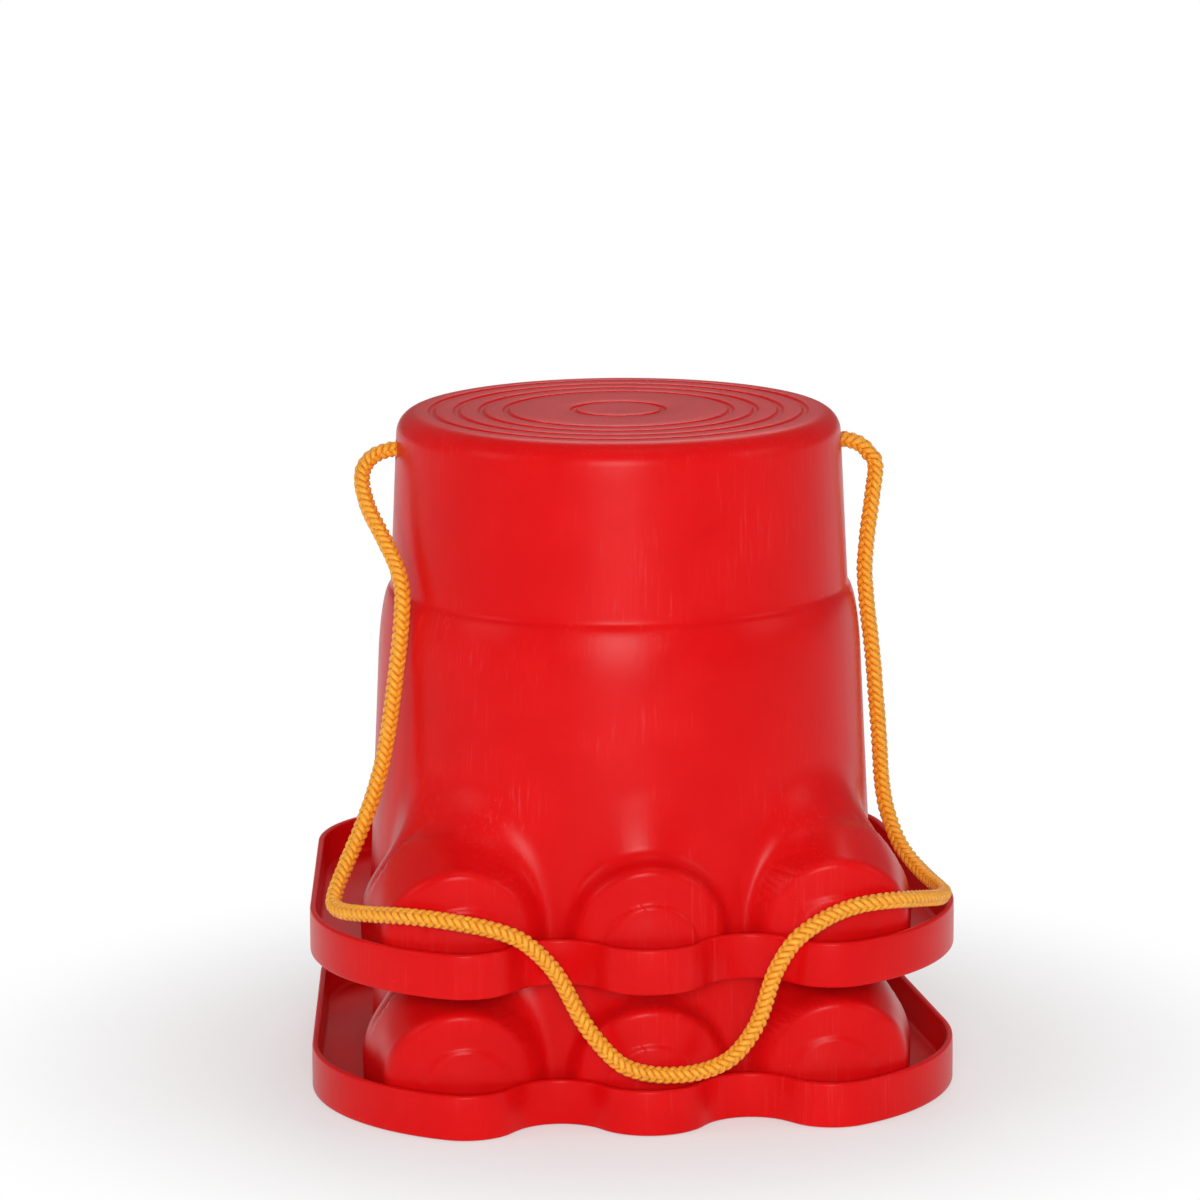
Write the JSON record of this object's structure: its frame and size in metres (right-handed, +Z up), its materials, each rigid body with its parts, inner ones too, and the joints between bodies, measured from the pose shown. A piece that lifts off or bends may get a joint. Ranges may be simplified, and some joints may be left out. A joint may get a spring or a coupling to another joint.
{
  "type": "bucket stilts",
  "caption": "Nested pair of red plastic bucket stilts with three-toed paw feet and a braided yellow cord loop.",
  "frame": {"origin": "on the ground under the bucket axis, at the middle of the foot tray", "axes": "+Z up along the bucket axis, -Y towards the toes, +X to the right of a viewer who faces the toes"},
  "size_m": [0.143, 0.1386, 0.1472],
  "materials": {
    "red_plastic": "semi-gloss moulded polypropylene",
    "yellow_braid": "glossy braided fibre"
  },
  "bodies": {
    "lower_stilt": {"lower_stilt": "red_plastic"},
    "upper_stilt": {"upper_stilt": "red_plastic", "cord": "yellow_braid", "cord_knot_left": "yellow_braid", "cord_knot_right": "yellow_braid"}
  },
  "joints": [
    {"name": "lift_off", "type": "slide", "parent": "lower_stilt", "child": "upper_stilt", "axis": [0, 0, 1], "range_m": [0, 0.1]}
  ]
}
